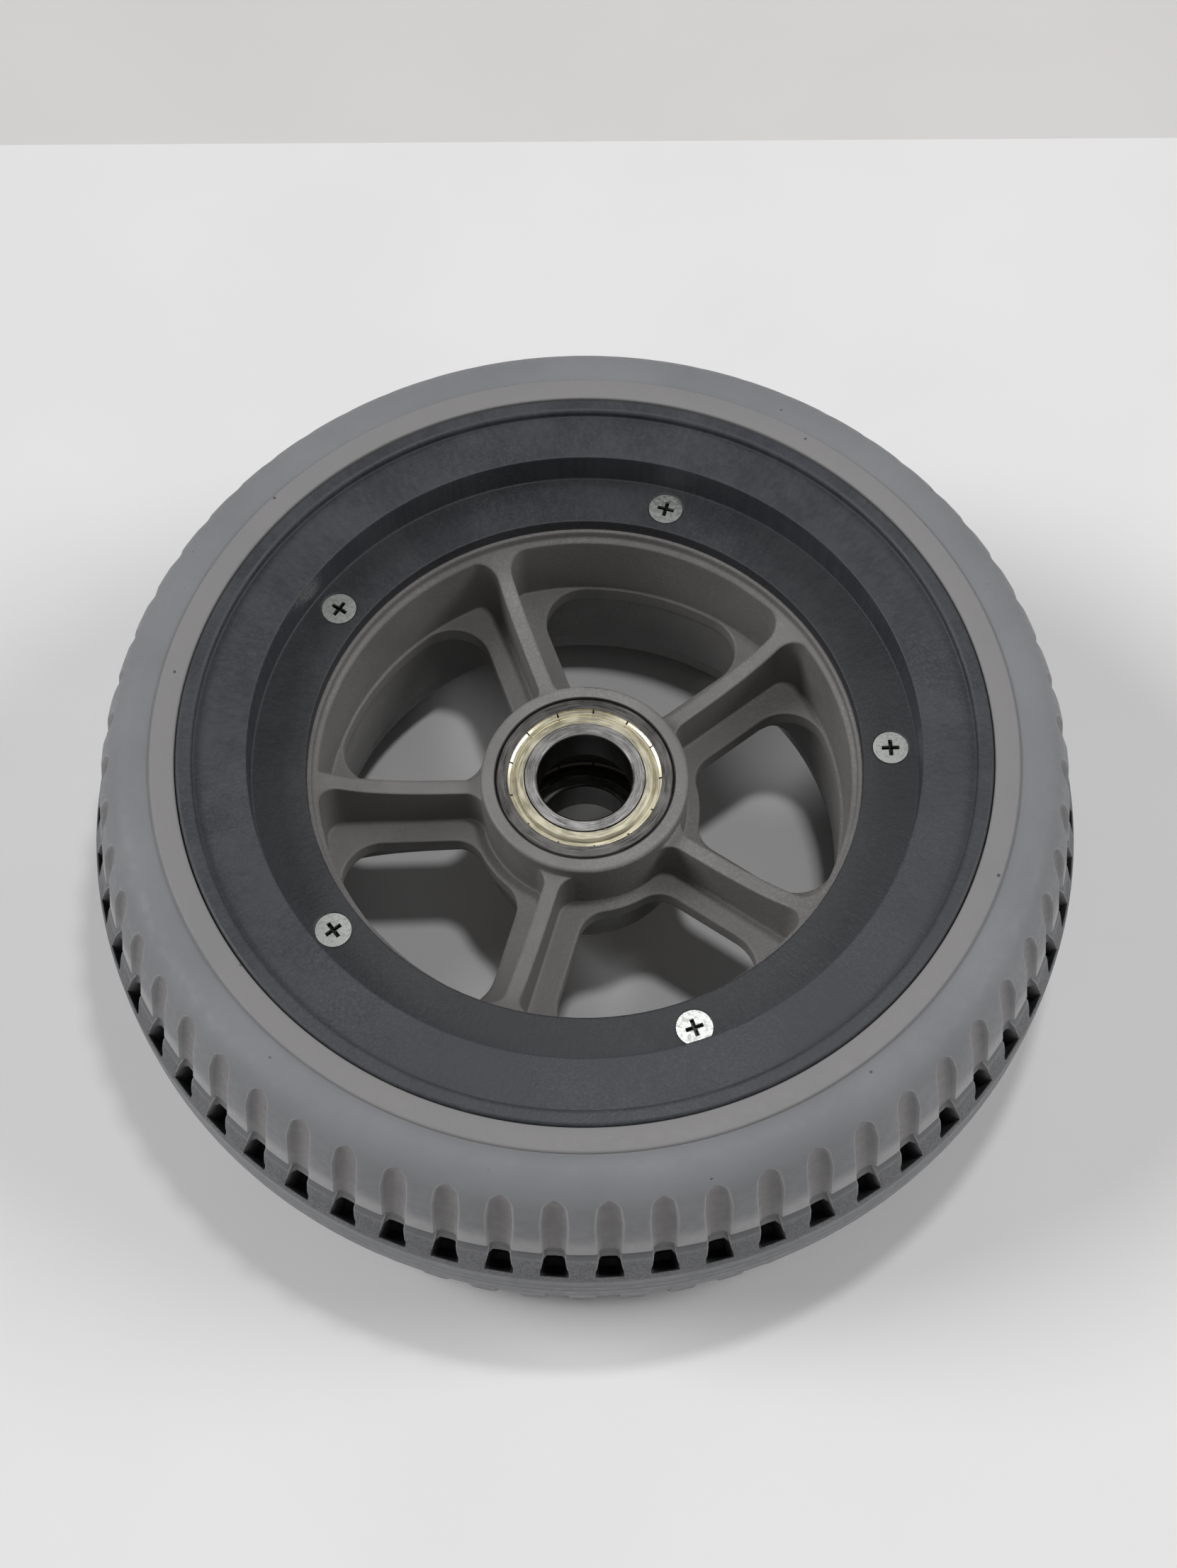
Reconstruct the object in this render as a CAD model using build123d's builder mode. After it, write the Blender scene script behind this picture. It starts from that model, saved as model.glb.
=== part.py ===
from build123d import *
import os
from math import radians, sqrt, tan

# Puncture-proof wheel, lying on its side. The axle axis is +Z, the origin is the wheel's centre and
# the clamp ring is on top. Lengths are millimetres and angles are degrees.

# Tire
tire_radius = 130.0
tire_half_width = 44.8
bead_band_width = 6.4
bead_crease_depth = 0.9
shoulder_top_inset = 7.6
shoulder_top_drop = 6.9
shoulder_inset = 5.8
shoulder_drop = 11.9
arris_inset = 3.4
arris_height = 18.0
centre_rib_half_width = 6.5
tire_bore_clearance = 0.1
tire_flange_clearance = 0.2

# Scooped notches of the tire's shoulders
scoop_count = 60
scoop_angle = 2.35
scoop_top_height = 40.9
scoop_top_inset = 9.8
scoop_floor_width = 4.2
scoop_wall_angle = 30.0
scoop_wall_reach = 3.2
scoop_depth_at_arris = 1.6
scoop_overlap = 0.4
pocket_width = 6.6
pocket_end_height = 8.4
pocket_reach = 8.0

# Rim body
hub_radius = 27.3
hub_half_length = 21.0
hub_edge_round = 1.0
hub_mouth_chamfer = 0.4
hub_shoulder_radius = 20.0
web_thickness = 5.0
barrel_radius_at_web = 69.4
barrel_draft = 1.4
barrel_wall = 3.6
tire_seat_radius = 89.3
tire_seat_wall = 3.6
channel_floor = 3.9
channel_rib_thickness = 3.0
ring_seat_height = 28.6
flange_radius = 103.4
flange_thickness = 3.9
flange_step_height = 10.0
flange_lip_width = 4.2
flange_lip_height = 2.2
flange_edge_round = 1.0
ring_edge_setback = 0.95

# Spokes
spoke_count = 5
spoke_angle = 37.46
spoke_half_width = 8.7
window_inner_radius = 30.8
window_inner_round = 8.0
window_outer_round = 11.0
window_ledge = 0.8
rib_width = 4.0
rib_height_at_hub = 17.0
rib_height_at_barrel = 26.4
rib_end_round = 5.0

# Screws of the clamp ring
screw_circle_radius = 78.9
screw_head_radius = 4.55
screw_head_edge = 0.15
screw_head_sink = 0.1
screw_head_clearance = 0.05
screw_shank_radius = 2.4
screw_length = 22.0
screw_tip_length = 2.0
screw_tip_radius = 1.2
screw_hole_clearance = 0.1
screw_hole_spare = 2.0
screw_boss_radius = 5.6
recess_length = 4.6
recess_width = 1.1
recess_depth = 1.6
recess_taper = 10.0

# Ball bearings
bearing_bore_radius = 12.5
bearing_radius = 23.5
bearing_width = 12.0
bearing_chamfer = 0.6
bearing_seat_clearance = 0.02
inner_shoulder_radius = 15.7
outer_shoulder_radius = 20.2
ball_radius = 3.175
ball_circle_radius = 18.0
ball_count = 10
ball_clearance = 0.05
groove_radius = 3.3
cage_sheet = 0.4
cage_band_width = 2.4
cage_pocket_clearance = 0.1
rivet_radius = 0.5
rivet_head_radius = 0.85
rivet_head_height = 0.4
rivet_clearance = 0.03
shield_sheet = 0.35
shield_gap = 0.3
shield_inset = 0.35
shield_flat_width = 2.0
shield_bend_width = 0.8
shield_trough_width = 0.8
shield_trough_depth = 0.85
shield_edge_rise = 0.4
shield_edge_grip = 0.5
shield_groove_clearance = 0.05
crimp_count = 13
crimp_width = 0.45
crimp_length = 0.8

# Sizes that follow from the ones above
web_half = web_thickness / 2
half_pitch = 180 / spoke_count
screw_angle = spoke_angle + half_pitch
seat_radius = bearing_radius + bearing_seat_clearance
bearing_centre = hub_half_length - bearing_width / 2
shoulder_half = hub_half_length - bearing_width
ring_top = ring_seat_height + flange_thickness
flange_top = ring_top + flange_step_height
flange_under = flange_top - flange_thickness
lip_top = flange_top + flange_lip_height
lip_radius = flange_radius - flange_lip_width
step_radius = tire_seat_radius - tire_seat_wall
barrel_radius_at_ring = barrel_radius_at_web + barrel_draft
channel_inner_radius = barrel_radius_at_ring + barrel_wall
ring_inner_radius = barrel_radius_at_ring + ring_edge_setback
bead_radius = flange_radius + tire_flange_clearance
band_radius = bead_radius + bead_band_width
crease_height = tire_half_width - bead_crease_depth
arris_radius = tire_radius - arris_inset
screw_hole_radius = screw_shank_radius + screw_hole_clearance
screw_hole_depth = screw_length + screw_hole_spare - flange_thickness
countersink_radius = screw_head_radius + screw_head_edge + screw_head_sink + screw_head_clearance
cage_inner_radius = ball_circle_radius - cage_band_width / 2
cage_outer_radius = ball_circle_radius + cage_band_width / 2
pocket_radius = ball_radius + cage_pocket_clearance

os.makedirs("parts", exist_ok=True)


def finish(piece, label):
    """Names a finished piece and writes its file."""
    piece.part.label = label
    export_step(piece.part, f"parts/{label}.step")


# One scooped notch: a slot with sloping walls and a round top end on the shoulder, and the flared
# pocket below it that ends at a flat wall in the crown
scoop_low = Vector(arris_radius - scoop_depth_at_arris, 0, arris_height)
scoop_high = Vector(tire_radius - scoop_top_inset, 0, scoop_top_height)
scoop_along = (scoop_high - scoop_low).normalized()
scoop_out = Vector(0, 1, 0).cross(scoop_along)
scoop_straight = (scoop_high - scoop_low).length - scoop_floor_width / 2
scoop_spread = scoop_wall_reach * tan(radians(scoop_wall_angle))
slot_plane = Plane(scoop_low - scoop_along * scoop_overlap, x_dir=scoop_out, z_dir=scoop_along)
tip_plane = Plane(scoop_low + scoop_along * scoop_straight, x_dir=(0, 1, 0), z_dir=scoop_out)
pocket_plane = Plane(scoop_low, x_dir=(0, 1, 0), z_dir=(1, 0, 0))
pocket_drop = arris_height - pocket_end_height

with BuildPart() as scoop:
    with BuildSketch(slot_plane):
        with BuildLine():
            Polyline(
                (0, scoop_floor_width / 2),
                (scoop_wall_reach, scoop_floor_width / 2 + scoop_spread),
                (scoop_wall_reach, -scoop_floor_width / 2 - scoop_spread),
                (0, -scoop_floor_width / 2),
                close=True,
            )
        make_face()
    extrude(amount=scoop_straight + scoop_overlap)
    with Locations(tip_plane):
        Cone(
            scoop_floor_width / 2,
            scoop_floor_width / 2 + scoop_spread,
            scoop_wall_reach,
            align=(Align.CENTER, Align.CENTER, Align.MIN),
        )
    with BuildSketch(pocket_plane):
        with BuildLine():
            Polyline(
                (scoop_floor_width / 2, 0),
                (pocket_width / 2, -pocket_drop),
                (-pocket_width / 2, -pocket_drop),
                (-scoop_floor_width / 2, 0),
                close=True,
            )
        make_face()
    extrude(amount=pocket_reach)
lower_scoop = mirror(scoop.part, about=Plane.XY)

# Tire
with BuildPart() as tire:
    with BuildSketch(Plane.XZ):
        with BuildLine():
            bead = Polyline(
                (tire_seat_radius + tire_bore_clearance, 0),
                (tire_seat_radius + tire_bore_clearance, flange_under),
                (bead_radius, flange_under),
                (bead_radius, tire_half_width),
                (band_radius, tire_half_width),
                (band_radius, crease_height),
            )
            tread = Polyline(
                (tire_radius, 0),
                (tire_radius, centre_rib_half_width),
                (arris_radius, arris_height),
                (tire_radius - shoulder_inset, tire_half_width - shoulder_drop),
                (tire_radius - shoulder_top_inset, tire_half_width - shoulder_top_drop),
            )
            TangentArc(tread @ 1, bead @ 1, tangent=tread % 1)
            Line(tread @ 0, bead @ 0)
        make_face()
        mirror(about=Plane.XZ)
    revolve(axis=Axis.Z)
    with PolarLocations(0, scoop_count, start_angle=scoop_angle):
        add([scoop.part, lower_scoop], mode=Mode.SUBTRACT, clean=False)
finish(tire, "tire")

# Spoke ribs, with rounded ends on the hub and on the barrel. Their free edge is a curve turned about
# the axle axis.
with BuildPart() as ribs:
    with BuildSketch() as rib_plan:
        Circle(channel_inner_radius)
        Circle(barrel_radius_at_web, mode=Mode.SUBTRACT)
        Circle(hub_radius)
        with PolarLocations(barrel_radius_at_web / 2, spoke_count, start_angle=spoke_angle):
            Rectangle(barrel_radius_at_web, rib_width)
        rib_ends = rib_plan.vertices().filter_by(
            lambda v: abs(v.Y) > rib_width / 4 and Vector(v).length < barrel_radius_at_ring
        )
        fillet(rib_ends, rib_end_round)
    extrude(amount=rib_height_at_barrel, both=True)
    with BuildSketch(Plane.XZ):
        with BuildLine():
            free_edge = Spline(
                (seat_radius, rib_height_at_hub),
                (barrel_radius_at_ring, rib_height_at_barrel),
                tangents=[(1, 0), (1, 1)],
            )
            Polyline(free_edge @ 1, (barrel_radius_at_ring, 0), (seat_radius, 0), free_edge @ 0)
        make_face()
        mirror(about=Plane.XZ)
    revolve(axis=Axis.Z, mode=Mode.INTERSECT)

# One window between two spokes, about the X axis
side_start = sqrt(window_inner_radius**2 - spoke_half_width**2)
window_outer_radius = barrel_radius_at_web - window_ledge
side_end = sqrt(window_outer_radius**2 - spoke_half_width**2)
inner_corner = Vector(side_start, -spoke_half_width).rotate(Axis.Z, half_pitch)
outer_corner = Vector(side_end, -spoke_half_width).rotate(Axis.Z, half_pitch)
with BuildSketch() as window:
    with BuildLine():
        near_side = Line(inner_corner, outer_corner)
        rim_arc = ThreePointArc(
            near_side @ 1, (window_outer_radius, 0), (outer_corner.X, -outer_corner.Y)
        )
        far_side = Line(rim_arc @ 1, (inner_corner.X, -inner_corner.Y))
        ThreePointArc(far_side @ 1, (window_inner_radius, 0), near_side @ 0)
    make_face()
    fillet(window.vertices().group_by(Axis.X)[0], window_inner_round)
    fillet(window.vertices().group_by(Axis.X)[-1], window_outer_round)

# Rim body: hub, web, barrel and lower flange are turned in one section, with a cored channel in the
# barrel that the clamp ring closes
with BuildPart() as rim_body:
    with BuildSketch(Plane.XZ) as rim_section:
        with BuildLine():
            Polyline(
                (seat_radius, hub_half_length),
                (hub_radius, hub_half_length),
                (hub_radius, web_half),
                (barrel_radius_at_web, web_half),
                (barrel_radius_at_ring, ring_seat_height),
                (channel_inner_radius, ring_seat_height),
                (channel_inner_radius, channel_floor - ring_top),
                (step_radius, channel_floor - ring_top),
                (step_radius, ring_seat_height),
                (tire_seat_radius, ring_seat_height),
                (tire_seat_radius, -flange_under),
                (flange_radius, -flange_under),
                (flange_radius, -lip_top),
                (lip_radius, -lip_top),
                (lip_radius, -flange_top),
                (step_radius, -flange_top),
                (step_radius, -ring_top),
                (barrel_radius_at_ring, -ring_top),
                (barrel_radius_at_web, -web_half),
                (hub_radius, -web_half),
                (hub_radius, -hub_half_length),
                (seat_radius, -hub_half_length),
                (seat_radius, -shoulder_half),
                (hub_shoulder_radius, -shoulder_half),
                (hub_shoulder_radius, shoulder_half),
                (seat_radius, shoulder_half),
                close=True,
            )
        make_face()
        hub_faces = rim_section.vertices().filter_by(
            lambda v: abs(abs(v.Y) - hub_half_length) < hub_mouth_chamfer
        )
        fillet(hub_faces.group_by(Axis.X)[-1], hub_edge_round)
        chamfer(hub_faces.group_by(Axis.X)[0], hub_mouth_chamfer)
        fillet(rim_section.vertices().group_by(Axis.Y)[0], flange_edge_round)
    revolve(axis=Axis.Z)
    with BuildSketch():
        with PolarLocations(0, spoke_count, start_angle=screw_angle):
            add(window.sketch)
    extrude(amount=web_half, both=True, mode=Mode.SUBTRACT)
    add(ribs.part)
    with BuildSketch(Plane.XY.offset(channel_floor - ring_top)):
        with PolarLocations(screw_circle_radius, spoke_count, start_angle=screw_angle):
            Circle(screw_boss_radius)
        with PolarLocations(screw_circle_radius, spoke_count, start_angle=spoke_angle):
            Rectangle(tire_seat_radius - barrel_radius_at_ring - barrel_wall, channel_rib_thickness)
    extrude(amount=ring_seat_height + ring_top - channel_floor)
    with Locations((0, 0, ring_seat_height)):
        with PolarLocations(screw_circle_radius, spoke_count, start_angle=screw_angle):
            Hole(screw_hole_radius, depth=screw_hole_depth)
finish(rim_body, "rim_body")

# Clamp ring
with BuildPart() as rim_ring:
    with BuildSketch(Plane.XZ) as ring_section:
        with BuildLine():
            Polyline(
                (ring_inner_radius, ring_seat_height),
                (tire_seat_radius, ring_seat_height),
                (tire_seat_radius, flange_under),
                (flange_radius, flange_under),
                (flange_radius, lip_top),
                (lip_radius, lip_top),
                (lip_radius, flange_top),
                (step_radius, flange_top),
                (step_radius, ring_top),
                (ring_inner_radius, ring_top),
                close=True,
            )
        make_face()
        fillet(ring_section.vertices().group_by(Axis.Y)[-1], flange_edge_round)
    revolve(axis=Axis.Z)
    with Locations((0, 0, ring_top)):
        with PolarLocations(screw_circle_radius, spoke_count, start_angle=screw_angle):
            CounterSinkHole(screw_hole_radius, countersink_radius, counter_sink_angle=90)
finish(rim_ring, "rim_ring")

# Countersunk screws with a cross recess
with BuildPart() as screw:
    with BuildSketch(Plane.XZ):
        with BuildLine():
            Polyline(
                (0, 0),
                (screw_head_radius, 0),
                (screw_head_radius, -screw_head_edge),
                (screw_shank_radius, screw_shank_radius - screw_head_radius - screw_head_edge),
                (screw_shank_radius, screw_tip_length - screw_length),
                (screw_tip_radius, -screw_length),
                (0, -screw_length),
                close=True,
            )
        make_face()
    revolve(axis=Axis.Z)
    with BuildSketch():
        Rectangle(recess_length, recess_width)
        Rectangle(recess_width, recess_length)
    extrude(amount=-recess_depth, taper=recess_taper, mode=Mode.SUBTRACT)

with BuildPart() as ring_screws:
    with Locations((0, 0, ring_top - screw_head_sink)):
        with PolarLocations(screw_circle_radius, spoke_count, start_angle=screw_angle):
            add(screw.part)
finish(ring_screws, "ring_screws")

# Shielded ball bearings, one flush with each face of the hub
shield_flat = bearing_width / 2 - shield_inset
shield_trough = shield_flat - shield_trough_depth
shield_edge = shield_trough + shield_edge_rise
shield_radii = [
    inner_shoulder_radius + shield_gap,
    inner_shoulder_radius + shield_gap + shield_flat_width,
    inner_shoulder_radius + shield_gap + shield_flat_width + shield_bend_width,
    inner_shoulder_radius + shield_gap + shield_flat_width + shield_bend_width + shield_trough_width,
    outer_shoulder_radius,
    outer_shoulder_radius + shield_edge_grip,
]
shield_heights = [shield_flat, shield_flat, shield_trough, shield_trough, shield_edge, shield_edge]
shield_groove_centre = shield_edge - shield_sheet / 2
shield_groove_width = shield_sheet + 2 * shield_groove_clearance
shield_groove_depth = shield_edge_grip + shield_groove_clearance
race_reach = ball_radius + ball_clearance - groove_radius

for side, outward in (("upper", 1), ("lower", -1)):
    middle = Plane((0, 0, outward * bearing_centre))
    section_plane = Plane(middle.origin, x_dir=(1, 0, 0), z_dir=(0, -1, 0))

    with BuildPart() as outer_ring:
        with BuildSketch(section_plane) as outer_section:
            with Locations((outer_shoulder_radius, 0)):
                Rectangle(
                    bearing_radius - outer_shoulder_radius,
                    bearing_width,
                    align=(Align.MIN, Align.CENTER),
                )
            chamfer(outer_section.vertices().group_by(Axis.X)[-1], bearing_chamfer)
            with Locations((ball_circle_radius + race_reach, 0)):
                Circle(groove_radius, mode=Mode.SUBTRACT)
            with GridLocations(0, 2 * shield_groove_centre, 1, 2):
                with Locations((outer_shoulder_radius, 0)):
                    Rectangle(2 * shield_groove_depth, shield_groove_width, mode=Mode.SUBTRACT)
        revolve(axis=Axis.Z)
    finish(outer_ring, f"{side}_outer_ring")

    with BuildPart() as inner_ring:
        with BuildSketch(section_plane) as inner_section:
            with Locations((bearing_bore_radius, 0)):
                Rectangle(
                    inner_shoulder_radius - bearing_bore_radius,
                    bearing_width,
                    align=(Align.MIN, Align.CENTER),
                )
            chamfer(inner_section.vertices().group_by(Axis.X)[0], bearing_chamfer)
            with Locations((ball_circle_radius - race_reach, 0)):
                Circle(groove_radius, mode=Mode.SUBTRACT)
        revolve(axis=Axis.Z)
    finish(inner_ring, f"{side}_inner_ring")

    with BuildPart() as balls:
        with Locations(middle):
            with PolarLocations(ball_circle_radius, ball_count):
                Sphere(ball_radius)
    finish(balls, f"{side}_balls")

    for half, face in (("top", 1), ("bottom", -1)):
        with BuildPart() as cage:
            with BuildSketch(middle):
                Circle(cage_outer_radius)
                Circle(cage_inner_radius, mode=Mode.SUBTRACT)
            extrude(amount=face * cage_sheet)
            with Locations(middle):
                with PolarLocations(ball_circle_radius, ball_count):
                    Sphere(pocket_radius + cage_sheet)
            with BuildSketch(middle):
                Circle(cage_outer_radius)
                Circle(cage_inner_radius, mode=Mode.SUBTRACT)
            extrude(amount=face * bearing_width / 2, mode=Mode.INTERSECT)
            with Locations(middle):
                with PolarLocations(ball_circle_radius, ball_count):
                    Sphere(pocket_radius, mode=Mode.SUBTRACT)
                with PolarLocations(ball_circle_radius, ball_count, start_angle=180 / ball_count):
                    Hole(rivet_radius + rivet_clearance)
        finish(cage, f"{side}_cage_{half}")

    with BuildPart() as rivets:
        with Locations(middle):
            with PolarLocations(ball_circle_radius, ball_count, start_angle=180 / ball_count):
                Cylinder(rivet_radius, 2 * cage_sheet)
        for face in (1, -1):
            with Locations(middle.offset(face * (cage_sheet + rivet_head_height / 2))):
                with PolarLocations(ball_circle_radius, ball_count, start_angle=180 / ball_count):
                    Cylinder(rivet_head_radius, rivet_head_height)
    finish(rivets, f"{side}_cage_rivets")

    for place, face in (("outer", outward), ("inner", -outward)):
        sheet_face = [(r, face * h) for r, h in zip(shield_radii, shield_heights)]
        sheet_back = [(r, face * (h - shield_sheet)) for r, h in zip(shield_radii, shield_heights)]
        with BuildPart() as shield:
            with BuildSketch(section_plane):
                with BuildLine():
                    Polyline(*sheet_face, *reversed(sheet_back), close=True)
                make_face()
            revolve(axis=Axis.Z)
            with BuildSketch(middle):
                with PolarLocations(outer_shoulder_radius - crimp_length / 2, crimp_count):
                    Rectangle(crimp_length, crimp_width)
            extrude(amount=face * bearing_width / 2, mode=Mode.SUBTRACT)
        finish(shield, f"{side}_shield_{place}")
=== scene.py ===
import math

import bpy
import numpy as np
from mathutils import Euler, Matrix, Vector


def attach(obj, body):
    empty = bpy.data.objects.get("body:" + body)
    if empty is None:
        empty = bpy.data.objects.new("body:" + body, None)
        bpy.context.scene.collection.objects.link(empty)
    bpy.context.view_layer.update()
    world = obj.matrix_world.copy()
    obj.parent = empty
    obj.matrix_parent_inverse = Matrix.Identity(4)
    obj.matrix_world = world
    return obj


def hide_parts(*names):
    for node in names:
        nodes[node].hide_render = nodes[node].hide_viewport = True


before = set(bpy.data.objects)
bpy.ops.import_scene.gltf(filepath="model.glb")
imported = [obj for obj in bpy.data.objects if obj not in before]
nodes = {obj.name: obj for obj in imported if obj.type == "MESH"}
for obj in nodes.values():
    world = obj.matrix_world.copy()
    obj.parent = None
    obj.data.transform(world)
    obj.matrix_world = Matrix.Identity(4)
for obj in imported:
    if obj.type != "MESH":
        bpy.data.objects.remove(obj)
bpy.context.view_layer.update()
scene = bpy.context.scene
scene.view_settings.view_transform = "Standard"
MM = 0.001

# Tire, in millimetres: (radius, height) outlines of the upper half, and the scooped notches
SCOOPS = 60
SCOOP_ANGLE = 2.35
BEAD = [
    (89.4, 38.6), (103.6, 38.6), (103.6, 44.3), (103.75, 44.65), (104.1, 44.8), (106.6, 44.8),
    (109.2, 44.8), (109.55, 44.72), (109.8, 44.45), (109.95, 43.95), (110.1, 43.9),
]
SIDEWALL_CENTRE = (113.134, 34.564)
SIDEWALL_RADIUS = 9.848
SIDEWALL_ANGLES = np.radians(np.concatenate((
    np.linspace(106, 44, 9), np.linspace(41.6, 36, 7), np.linspace(34.3, 19.8, 7),
)))
SHOULDER = [
    (122.75, 36.9), (123.1, 35.95), (123.55, 34.7), (124.15, 32.9), (124.65, 30.0), (125.1, 27.2),
    (125.55, 24.4), (126.0, 21.6), (126.35, 19.5), (126.55, 18.5), (126.55, 18.1), (126.3, 17.85),
]
CROWN = [
    (125.6, 17.5), (126.2, 16.5), (127.2, 15.3), (127.75, 13.8), (128.2, 12.4), (128.55, 11.3),
    (128.85, 10.4), (129.05, 9.8), (129.2, 9.3), (129.3, 8.9), (129.38, 8.6), (129.44, 8.4),
]
HOLLOW = [
    (124.95, 17.5), (125.05, 16.3), (125.25, 15.1), (125.4, 13.9), (125.3, 12.8), (124.8, 11.8),
    (123.9, 10.4), (123.3, 7.2), (123.6, 4.6), (125.2, 3.6), (127.4, 4.4), (129.2, 8.0),
]
CENTRE_RIB = [
    (129.5, 8.1), (129.75, 7.3), (129.95, 6.6), (130.0, 6.2), (130.0, 4.0), (130.0, 1.85),
    (130.14, 1.6), (130.0, 1.35), (130.0, 0.6),
]
# Scoop: a straight floor that leans in as it rises, a round end, and slanted walls
FLOOR_FOOT = np.array((125.0, 18.0))
FLOOR_LEAN, FLOOR_RISE = 4.8, 22.9
FLOOR_RUN = np.array((-FLOOR_LEAN, FLOOR_RISE)) / math.hypot(FLOOR_LEAN, FLOOR_RISE)
FLOOR_UP = np.array((FLOOR_RISE, FLOOR_LEAN)) / math.hypot(FLOOR_LEAN, FLOOR_RISE)
FLOOR_STRAIGHT = 20.2
DOME_LENGTH = 3.3
FLOOR_HALF = 2.1
FLOOR_SHARE = 0.68
WALL_TAN = math.tan(math.radians(30))
# Pocket under the scoop: half width, where it flares, and the heights over which painted shade turns it dark
POCKET_HALF = 3.3
POCKET_EDGE = 0.25
POCKET_FLARE = (20.0, 10.0)
HOLLOW_SHADE = (12.3, 10.6)
# Columns across a scoop: width beyond the mouth, and share of the depth from floor to mouth
LIP = 0.4
BED_WIDTH, BED_SHARE = 0.72, 0.96
WALL_SHARE = 0.56
RIM_SHARE = 0.05
PLAIN_HALVES = (0.15, 0.5)
# Grained crown: lower and upper height, each with the width of its soft edge
GRAIN_LOW, GRAIN_LOW_EDGE = 6.3, 0.6
GRAIN_HIGH, GRAIN_HIGH_EDGE = 15.4, 0.8
SHARP_EDGE = math.radians(48)


def tire_rows():
    """Rows of the upper half: outline point, scoop floor point, half floor and mouth widths, kind."""
    arc = np.stack((np.cos(SIDEWALL_ANGLES), np.sin(SIDEWALL_ANGLES)), axis=1)
    outline = np.concatenate((SIDEWALL_CENTRE + SIDEWALL_RADIUS * arc, SHOULDER))
    tangent = np.gradient(outline, axis=0)
    normal = np.stack((-tangent[:, 1], tangent[:, 0]), axis=1)
    normal /= np.linalg.norm(normal, axis=1, keepdims=True)
    rows = [(p, p, FLOOR_HALF, 1.5 * FLOOR_HALF, "bead") for p in BEAD]
    for point, out in zip(outline, normal):
        height = float((point - FLOOR_FOOT) @ FLOOR_UP)
        past = max(0.0, float((point - FLOOR_FOOT) @ FLOOR_RUN) - FLOOR_STRAIGHT)
        mouth = FLOOR_HALF + height * WALL_TAN
        if height <= 0 or past >= DOME_LENGTH:
            rows.append((point, point, *PLAIN_HALVES, "sidewall"))
            continue
        dome = math.sqrt(1 - (past / DOME_LENGTH) ** 3)
        floor = point - out * height * dome / float(out @ FLOOR_UP)
        half_mouth = mouth * dome
        rows.append((point, floor, FLOOR_SHARE * half_mouth, half_mouth, "slot"))
    high, low = POCKET_FLARE
    for point, floor in zip(CROWN, HOLLOW):
        share = min(1.0, max(0.0, (high - floor[1]) / (high - low))) ** 2
        half = FLOOR_HALF + (POCKET_HALF - FLOOR_HALF) * share
        rows.append((point, floor, half, half + POCKET_EDGE, "pocket"))
    rows += [(p, p, POCKET_HALF, POCKET_HALF + POCKET_EDGE, "crown") for p in CENTRE_RIB]
    return rows


def build_tire():
    """The foam tire as one closed grid, with its scoops, deep pockets, crease and parting lines."""
    upper = tire_rows()
    rows = [(row, 1) for row in upper] + [(row, -1) for row in reversed(upper)]
    pitch = 2 * math.pi / SCOOPS
    places, marks = [], []
    for (point, floor, half_floor, half_mouth, kind), side in rows:
        half_pitch = point[0] * pitch / 2
        lip = half_mouth + LIP
        steps = [
            (BED_WIDTH * half_floor, BED_SHARE), ((half_floor + half_mouth) / 2, WALL_SHARE),
            (half_mouth, RIM_SHARE), (lip, 0.0), ((lip + half_pitch) / 2, 0.0),
        ]
        columns = [(-x, w) for x, w in reversed(steps)] + [(0.0, 1.0)] + steps + [(half_pitch, 0.0)]
        across = np.array([x for x, _ in columns]) / point[0]
        share = np.array([w for _, w in columns])
        section = np.outer(1 - share, point) + np.outer(share, floor)
        angles = math.radians(SCOOP_ANGLE) + np.add.outer(np.arange(SCOOPS) * pitch, across).ravel()
        radius, height = np.tile(section[:, 0], SCOOPS), np.tile(section[:, 1], SCOOPS) * side
        places.append(np.stack((radius * np.cos(angles), radius * np.sin(angles), height), axis=1))
        share = np.tile(share, SCOOPS)
        level = np.abs(height)
        inside = share * (kind in ("slot", "pocket"))
        # painted shade that blackens the lower part of each pocket
        dark = (HOLLOW_SHADE[0] - level) / (HOLLOW_SHADE[0] - HOLLOW_SHADE[1])
        deep = np.clip(dark, 0, 1) * inside * (kind == "pocket")
        grain = np.clip((level - GRAIN_LOW) / GRAIN_LOW_EDGE, 0, 1) * (kind in ("pocket", "crown"))
        grain = grain * np.clip((GRAIN_HIGH - level) / GRAIN_HIGH_EDGE, 0, 1) * (1 - inside)
        # painted highlight along the edges of the scoop mouths
        edge_highlight = np.where(share == RIM_SHARE, 1.0, 0.0) * (kind in ("slot", "pocket"))
        marks.append(np.stack((inside, deep, grain, edge_highlight), axis=1))
    count = len(places[0])
    mesh = bpy.data.meshes.new("tire_skin")
    grid = np.arange(len(rows) * count).reshape(len(rows), count)
    below = np.roll(grid, -1, axis=0)
    quads = np.stack((grid, np.roll(grid, -1, axis=1), np.roll(below, -1, axis=1), below), axis=2)
    mesh.from_pydata((np.concatenate(places) * MM).tolist(), [], quads.reshape(-1, 4).tolist())
    marks = np.concatenate(marks).astype(np.float32)
    for column, name in enumerate(("scoop", "pocket_shade", "grain", "edge_highlight")):
        mesh.attributes.new(name, "FLOAT", "POINT").data.foreach_set("value", marks[:, column].copy())
    mesh.polygons.foreach_set("use_smooth", [True] * len(mesh.polygons))
    mesh.set_sharp_from_angle(angle=SHARP_EDGE)
    tire = bpy.data.objects.new("tire_skin", mesh)
    scene.collection.objects.link(tire)
    return tire


# Bands of another shade on the plastic, in metres: from radius, to radius, share of the colour
# painted shade: the plastic made near black in the gap round the bearing seat
SEAT_GAP_SHADE = (0.0225, 0.02385, 0.08)
# painted light: the hub's top face made lighter where it is fully lit
LIT_HUB_FACE = (0.02385, 0.0278, 1.17)
LOW_FACE = (0.06, 0.0855, 0.7)
BLUR = 0.00015
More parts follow.
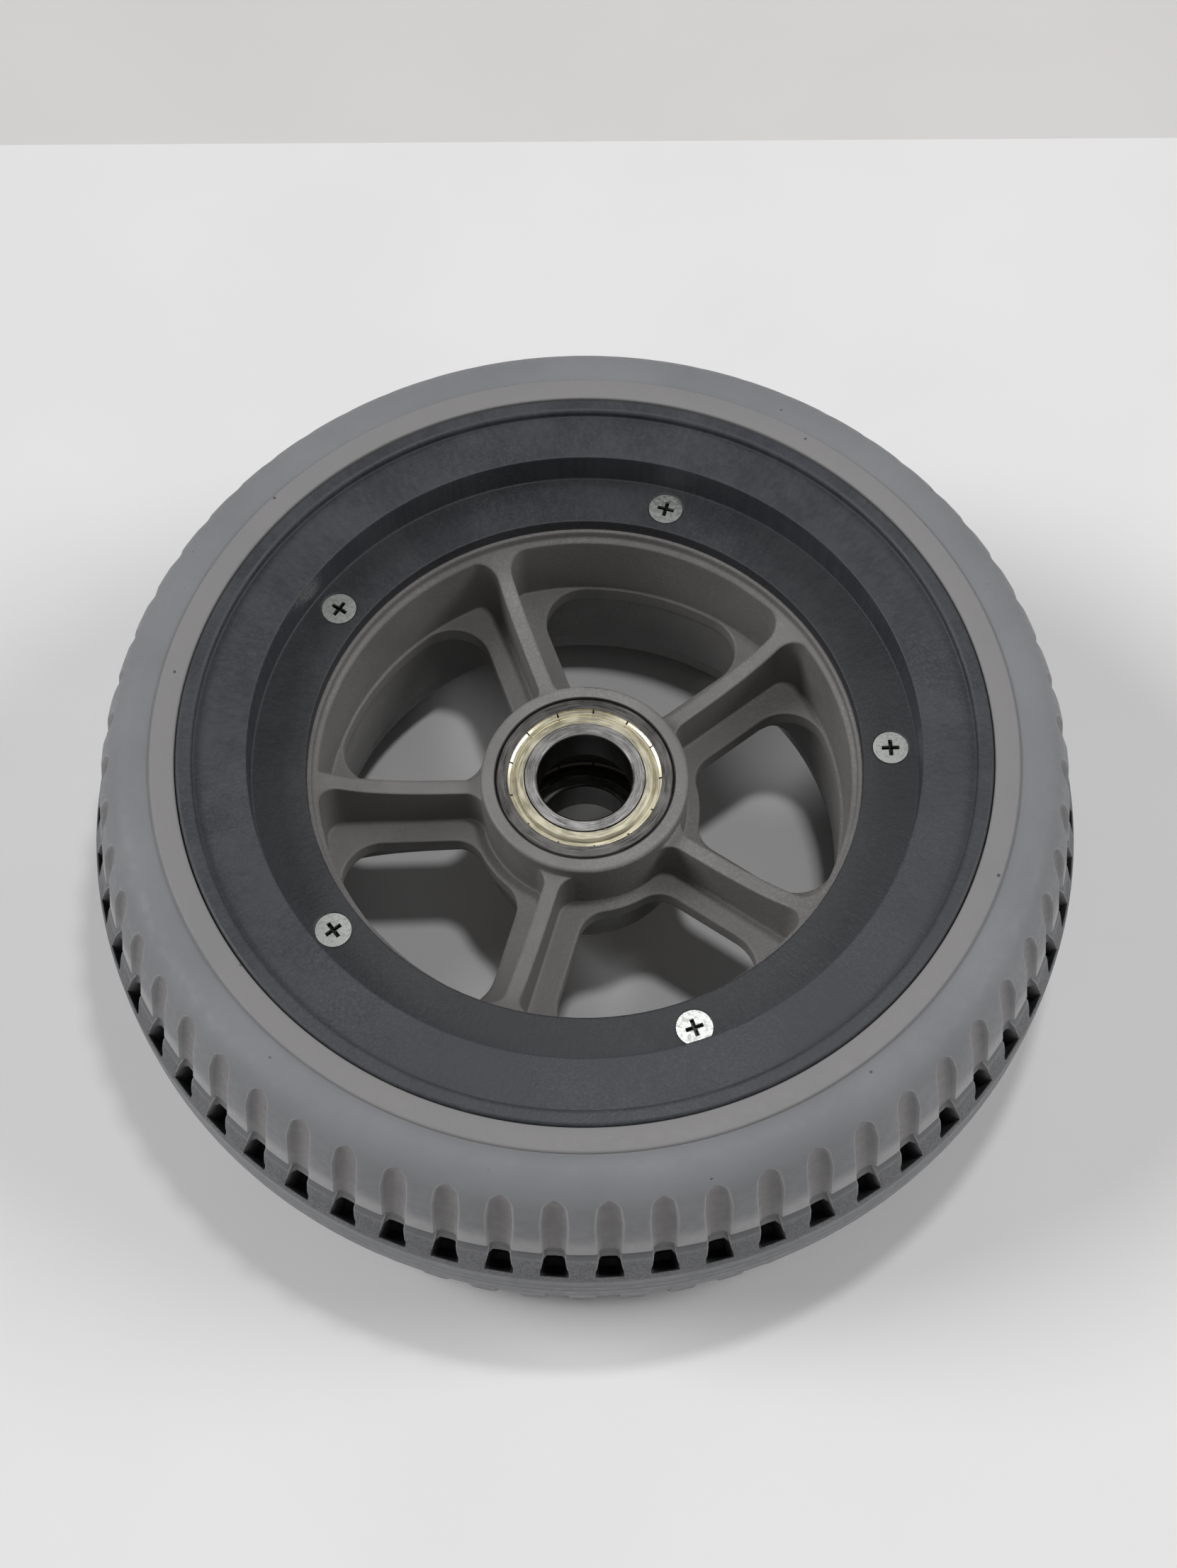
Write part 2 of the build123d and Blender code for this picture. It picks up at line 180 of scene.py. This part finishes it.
# Painted shade: dark screw recesses below this height, and a dark bore inside this radius
SCREW_FACE = 0.0317
RECESS_BLUR = 0.0002
RECESS_SHADE = (0.035, 0.037, 0.036)
BORE_RADIUS = 0.01265
BORE_SHADE = (0.06, 0.059, 0.058)


class Finish:
    """A node material round one Principled shader, with helpers for the textures it is made of."""

    def __init__(self, name, color, roughness, metallic=0.0, specular=0.5):
        self.material = bpy.data.materials.new(name)
        self.material.use_nodes = True
        self.tree = self.material.node_tree
        self.shader = self.tree.nodes["Principled BSDF"]
        self.shader.inputs["Base Color"].default_value = (*color, 1)
        self.shader.inputs["Roughness"].default_value = roughness
        self.shader.inputs["Metallic"].default_value = metallic
        self.shader.inputs["Specular IOR Level"].default_value = specular
        self.place = self.node("ShaderNodeTexCoord").outputs["Object"]

    def node(self, kind, **settings):
        made = self.tree.nodes.new(kind)
        for key, value in settings.items():
            setattr(made, key, value)
        return made

    def link(self, source, target):
        self.tree.links.new(source, target)

    def math(self, operation, first, second=0.0):
        made = self.node("ShaderNodeMath", operation=operation)
        for socket, value in zip(made.inputs, (first, second)):
            if isinstance(value, (int, float)):
                socket.default_value = value
            else:
                self.link(value, socket)
        return made.outputs[0]

    def noise(self, scale, detail=3.0, roughness=0.55, at=None):
        made = self.node("ShaderNodeTexNoise")
        made.inputs["Scale"].default_value = scale
        made.inputs["Detail"].default_value = detail
        made.inputs["Roughness"].default_value = roughness
        self.link(at or self.place, made.inputs["Vector"])
        return made.outputs["Fac"]

    def ramp(self, value, low, high, out_low=0.0, out_high=1.0):
        made = self.node("ShaderNodeMapRange", interpolation_type="SMOOTHSTEP")
        limits = {"From Min": low, "From Max": high, "To Min": out_low, "To Max": out_high}
        for name, setting in limits.items():
            made.inputs[name].default_value = setting
        self.link(value, made.inputs["Value"])
        return made.outputs["Result"]

    def attribute(self, name):
        return self.node("ShaderNodeAttribute", attribute_name=name).outputs["Fac"]

    def mix(self, factor, first, second, blend="MIX"):
        made = self.node("ShaderNodeMix", data_type="RGBA", blend_type=blend)
        sockets = (made.inputs["Factor"], made.inputs[6], made.inputs[7])
        for socket, value in zip(sockets, (factor, first, second)):
            if isinstance(value, tuple):
                socket.default_value = (*value, 1)
            elif isinstance(value, (int, float)):
                socket.default_value = value
            else:
                self.link(value, socket)
        return made.outputs[2]

    def radius(self):
        """The place projected on the wheel's plane, and its distance from the axle axis in metres."""
        split = self.node("ShaderNodeSeparateXYZ")
        self.link(self.place, split.inputs[0])
        flat = self.node("ShaderNodeCombineXYZ")
        self.link(split.outputs[0], flat.inputs[0])
        self.link(split.outputs[1], flat.inputs[1])
        length = self.node("ShaderNodeVectorMath", operation="LENGTH")
        self.link(flat.outputs[0], length.inputs[0])
        return flat.outputs[0], length.outputs["Value"]

    def height(self):
        """Distance from the wheel's middle plane, in metres."""
        split = self.node("ShaderNodeSeparateXYZ")
        self.link(self.place, split.inputs[0])
        return self.math("ABSOLUTE", split.outputs[2])

    def turned(self, around, outward):
        """A place that runs `around` units a radian round the axle and `outward` units a metre away from it."""
        flat, radius = self.radius()
        unit = self.node("ShaderNodeVectorMath", operation="NORMALIZE")
        self.link(flat, unit.inputs[0])
        wide = self.node("ShaderNodeVectorMath", operation="SCALE")
        self.link(unit.outputs[0], wide.inputs[0])
        wide.inputs["Scale"].default_value = around
        lift = self.node("ShaderNodeCombineXYZ")
        self.link(self.math("MULTIPLY", radius, outward), lift.inputs[2])
        total = self.node("ShaderNodeVectorMath", operation="ADD")
        self.link(wide.outputs[0], total.inputs[0])
        self.link(lift.outputs[0], total.inputs[1])
        return total.outputs[0]

    def color(self, value):
        self.link(value, self.shader.inputs["Base Color"])

    def roughness(self, value):
        self.link(value, self.shader.inputs["Roughness"])

    def soft_edges(self, radius):
        """Rounded-looking edges, as on a moulding."""
        made = self.node("ShaderNodeBevel", samples=6)
        made.inputs["Radius"].default_value = radius
        self.link(made.outputs["Normal"], self.shader.inputs["Normal"])

    def bump(self, height, distance, strength=1.0):
        made = self.node("ShaderNodeBump")
        made.inputs["Strength"].default_value = strength
        made.inputs["Distance"].default_value = distance
        self.link(height, made.inputs["Height"])
        previous = self.shader.inputs["Normal"].links
        if previous:
            self.link(previous[0].from_socket, made.inputs["Normal"])
        self.link(made.outputs["Normal"], self.shader.inputs["Normal"])


def foam_skin():
    """Matt grey foam: warm bead band, brownish scoop floors, pores and a grained crown, with painted shade in
    the pockets and under the arris and painted highlights on the shoulder band and scoop edges.
    """
    f = Finish("foam_skin", (0.19, 0.196, 0.206), 0.6, specular=0.35)
    _, radius = f.radius()
    cloud = f.ramp(f.noise(28, 4), 0.3, 0.7)
    color = f.mix(cloud, (0.178, 0.183, 0.192), (0.204, 0.209, 0.219))
    band = f.math("MULTIPLY", f.ramp(radius, 0.1102, 0.1098), f.ramp(f.noise(60, 3), 0.2, 0.6, 0.75, 1.0))
    color = f.mix(band, color, (0.218, 0.213, 0.214))
    color = f.mix(f.math("MULTIPLY", f.attribute("scoop"), 0.75), color, (0.19, 0.18, 0.175))
    height = f.height()
    # painted highlight: a lighter band on the outward-facing shoulder, where the light falls
    lit_band = f.math("MULTIPLY", f.ramp(height, 0.0275, 0.0205), f.ramp(height, 0.0179, 0.0184))
    lit_band = f.math("MULTIPLY", lit_band, f.math("SUBTRACT", 1.0, f.attribute("scoop")))
    color = f.mix(f.math("MULTIPLY", lit_band, 0.8), color, (0.34, 0.342, 0.348))
    # painted shade: a darker strip just under the overhanging arris, where the tread lies in shadow
    shade = f.math("MULTIPLY", f.ramp(height, 0.0182, 0.0178), f.ramp(height, 0.0148, 0.0156))
    color = f.mix(f.math("MULTIPLY", shade, 0.6), color, (0.105, 0.108, 0.114))
    grit = f.math("MULTIPLY", f.attribute("grain"), f.ramp(f.noise(1500, 2, 0.7), 0.4, 0.65))
    color = f.mix(f.math("MULTIPLY", grit, 0.5), color, (0.075, 0.078, 0.084))
    pore = f.node("ShaderNodeTexVoronoi")
    pore.inputs["Scale"].default_value = 190
    f.link(f.place, pore.inputs["Vector"])
    rare = f.ramp(f.noise(310, 1), 0.62, 0.66)
    speck = f.math("MULTIPLY", f.ramp(pore.outputs["Distance"], 0.11, 0.05), rare)
    color = f.mix(f.math("MULTIPLY", speck, 0.8), color, (0.03, 0.03, 0.032))
    # painted shade: the pockets painted near black
    color = f.mix(f.math("MULTIPLY", f.attribute("pocket_shade"), 0.96), color, (0.008, 0.009, 0.01))
    # painted highlight: lighter colour on the scoop mouths' edges
    color = f.mix(f.math("MULTIPLY", f.attribute("edge_highlight"), 0.7), color, (0.32, 0.32, 0.325))
    f.color(color)
    f.roughness(f.ramp(f.noise(420, 2), 0.3, 0.7, 0.5, 0.68))
    f.bump(f.noise(1400, 2), 0.0001, 0.25)
    f.bump(f.math("MULTIPLY", f.noise(2300, 2, 0.7), f.attribute("grain")), 0.0009, 1.0)
    f.bump(f.math("MULTIPLY", speck, -1.0), 0.0003, 0.6)
    return f.material


def moulded(name, dark, light, roughness, streak, edge, shaded=()):
    """Moulded plastic: cloudy flow, short streaks, dust, and bands of another shade round the hub, among them
    painted shade and painted light.
    """
    f = Finish(name, light, roughness, specular=0.45)
    f.soft_edges(edge)
    flow = f.ramp(f.noise(55, 5, 0.65), 0.3, 0.7)
    streaks = f.ramp(f.noise(1.0, 3, 0.6, f.turned(70, 330)), 0.3, 0.75)
    pattern = f.math("ADD", f.math("MULTIPLY", flow, 1 - streak), f.math("MULTIPLY", streaks, streak))
    color = f.mix(pattern, dark, light)
    dust = f.math("MULTIPLY", f.ramp(f.noise(1300, 3, 0.75), 0.42, 0.68), f.ramp(f.noise(24, 2), 0.3, 0.75))
    color = f.mix(f.math("MULTIPLY", dust, 0.6), color, tuple(1.5 * c for c in light))
    _, radius = f.radius()
    for inner, outer, shade in shaded:
        past_inner = f.ramp(radius, inner - BLUR, inner + BLUR)
        inside = f.math("MULTIPLY", past_inner, f.ramp(radius, outer + BLUR, outer - BLUR))
        color = f.mix(inside, color, f.mix(1.0, color, (shade, shade, shade), "MULTIPLY"))
    f.color(color)
    f.roughness(f.ramp(pattern, 0.2, 0.9, roughness - 0.06, roughness + 0.1))
    f.bump(f.noise(1700, 2), 0.00012, 0.3)
    f.bump(pattern, 0.0002, 0.25)
    return f.material


def turned_steel(name, dark, light, roughness, lines=5200, bore=0.0):
    """Bare or plated steel with fine turning lines round the axle, and painted shade inside the bore radius."""
    f = Finish(name, light, roughness, metallic=1.0)
    rings = f.noise(1.0, 2, 0.6, f.turned(3, lines))
    cloud = f.noise(160, 3)
    pattern = f.math("ADD", f.math("MULTIPLY", rings, 0.6), f.math("MULTIPLY", cloud, 0.4))
    color = f.mix(f.ramp(pattern, 0.35, 0.65), dark, light)
    _, radius = f.radius()
    # painted shade: the steel made dark inside the bore radius
    f.color(f.mix(f.ramp(radius, bore + BLUR, bore), color, BORE_SHADE))
    f.roughness(f.ramp(pattern, 0.3, 0.7, roughness - 0.08, roughness + 0.1))
    f.bump(rings, 0.000012, 0.4)
    return f.material


def plated(name, dark, light, roughness, sunk=0.0):
    """Zinc plate or steel with a faint crystal mottle, and painted shade below the height `sunk`."""
    f = Finish(name, light, roughness, metallic=1.0)
    mottle = f.ramp(f.noise(900, 4, 0.6), 0.3, 0.7)
    color = f.mix(mottle, dark, light)
    if sunk:
        color = f.mix(f.ramp(f.height(), sunk, sunk - RECESS_BLUR), color, RECESS_SHADE)
    f.color(color)
    f.roughness(f.ramp(mottle, 0.0, 1.0, roughness + 0.12, roughness - 0.06))
    f.bump(f.noise(2500, 2), 0.00005, 0.4)
    return f.material


def dress(material, *names):
    """Gives the named CAD pieces one material."""
    for name in names:
        nodes[name].data.materials.clear()
        nodes[name].data.materials.append(material)


tire = build_tire()
tire.data.materials.append(foam_skin())
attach(tire, "wheel")
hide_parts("tire")

rim_plastic = moulded(
    "rim_plastic", (0.135, 0.131, 0.128), (0.17, 0.165, 0.161), roughness=0.5, streak=0.2, edge=0.0013,
    shaded=[SEAT_GAP_SHADE, LIT_HUB_FACE],
)
ring_plastic = moulded(
    "ring_plastic", (0.026, 0.028, 0.033), (0.046, 0.048, 0.054), roughness=0.52, streak=0.4, edge=0.0008,
    shaded=[LOW_FACE],
)
dress(rim_plastic, "rim_body")
dress(ring_plastic, "rim_ring")
dress(plated("screw_zinc", (0.48, 0.5, 0.48), (0.74, 0.76, 0.73), 0.36, SCREW_FACE), "ring_screws")
outer_steel = turned_steel("outer_steel", (0.13, 0.127, 0.122), (0.27, 0.264, 0.252), 0.32)
inner_steel = turned_steel("inner_steel", (0.42, 0.415, 0.405), (0.66, 0.652, 0.635), 0.32, bore=BORE_RADIUS)
ball_steel = plated("ball_steel", (0.6, 0.6, 0.61), (0.72, 0.72, 0.73), 0.16)
cage_steel = plated("cage_steel", (0.42, 0.41, 0.39), (0.56, 0.55, 0.52), 0.38)
shield_zinc = turned_steel("shield_zinc", (0.74, 0.69, 0.5), (0.93, 0.88, 0.68), 0.34, 2600)
# darker copy of the shield zinc for the inner shields between the bearings: painted shade where they lie in
# shadow, with some grease
grease_and_shade_zinc = turned_steel("grease_and_shade_zinc", (0.1, 0.094, 0.072), (0.16, 0.15, 0.115), 0.45, 2600)
for side in ("upper", "lower"):
    dress(outer_steel, f"{side}_outer_ring")
    dress(inner_steel, f"{side}_inner_ring")
    dress(ball_steel, f"{side}_balls")
    dress(cage_steel, f"{side}_cage_top", f"{side}_cage_bottom", f"{side}_cage_rivets")
    dress(shield_zinc, f"{side}_shield_outer")
    dress(grease_and_shade_zinc, f"{side}_shield_inner")

# Floor: a pale sheet under the wheel, and a greyer one that starts behind it
FLOOR_Z = -0.0448
FLOOR_REACH = 6.0
SEAM_Y = 0.275


def sheet(name, near, far, color, roughness):
    """A floor sheet from one depth to another, with a faint cloud in its colour."""
    mesh = bpy.data.meshes.new(name)
    corners = [(-FLOOR_REACH, near), (FLOOR_REACH, near), (FLOOR_REACH, far), (-FLOOR_REACH, far)]
    mesh.from_pydata([(x, y, FLOOR_Z) for x, y in corners], [], [(0, 1, 2, 3)])
    floor = bpy.data.objects.new(name, mesh)
    scene.collection.objects.link(floor)
    f = Finish(name, color, roughness, specular=0.3)
    shade = tuple(0.97 * c for c in color)
    f.color(f.mix(f.ramp(f.noise(9, 3), 0.3, 0.7), shade, color))
    floor.data.materials.append(f.material)


sheet("floor", -FLOOR_REACH, SEAM_Y, (0.82, 0.812, 0.815), 0.5)
sheet("back_floor", SEAM_Y, FLOOR_REACH, (0.68, 0.665, 0.66), 0.7)

# Light: a small lamp overhead, a soft sun on each side and a surround that fades upwards
OVERHEAD_PLACE = (0.1, 0.05, 0.9)
OVERHEAD_SIZE = 0.08
OVERHEAD_POWER = 1.9
SUNS = [
    ("left_sun", (-0.85, 0.05, 0.72), 1.55),
    ("right_sun", (0.9, 0.05, 0.72), 1.1),
]
SUN_WIDTH = math.radians(26)
SKY_AT_HORIZON = 0.6
SKY_OVERHEAD = 0.1


def lamp(name, kind, place):
    """A lamp that points at the wheel's centre."""
    data = bpy.data.lights.new(name, kind)
    made = bpy.data.objects.new(name, data)
    made.location = place
    made.rotation_euler = (-Vector(place)).to_track_quat("-Z", "Y").to_euler()
    scene.collection.objects.link(made)
    return data


overhead = lamp("overhead", "AREA", OVERHEAD_PLACE)
overhead.shape = "DISK"
overhead.size = OVERHEAD_SIZE
overhead.energy = OVERHEAD_POWER
for name, place, strength in SUNS:
    sun = lamp(name, "SUN", place)
    sun.angle = SUN_WIDTH
    sun.energy = strength
world = bpy.data.worlds.new("surround")
world.use_nodes = True
sky = world.node_tree
sky.nodes["Background"].inputs["Color"].default_value = (1.0, 0.99, 0.985, 1)
direction = sky.nodes.new("ShaderNodeTexCoord")
upward = sky.nodes.new("ShaderNodeSeparateXYZ")
fade = sky.nodes.new("ShaderNodeMapRange")
fade.inputs["To Min"].default_value = SKY_AT_HORIZON
fade.inputs["To Max"].default_value = SKY_OVERHEAD
sky.links.new(direction.outputs["Generated"], upward.inputs[0])
sky.links.new(upward.outputs["Z"], fade.inputs["Value"])
sky.links.new(fade.outputs["Result"], sky.nodes["Background"].inputs["Strength"])
scene.world = world

# Camera at the photograph's angle
AIM = Vector((0, 0, 0.021))
DISTANCE = 0.6163
ELEVATION = math.radians(63.04)
TRIM = Euler((math.radians(-0.18), math.radians(-0.09), math.radians(-0.38)))
LENS = 54.11
SENSOR = 36
camera_data = bpy.data.cameras.new("camera")
camera_data.sensor_width = SENSOR
camera_data.lens = LENS
camera = bpy.data.objects.new("camera", camera_data)
back = Vector((0, -math.cos(ELEVATION), math.sin(ELEVATION)))
look = (-back).to_track_quat("-Z", "Y").to_matrix().to_4x4()
camera.matrix_world = Matrix.Translation(AIM + back * DISTANCE) @ look @ TRIM.to_matrix().to_4x4()
scene.collection.objects.link(camera)
scene.camera = camera

bpy.context.view_layer.update()
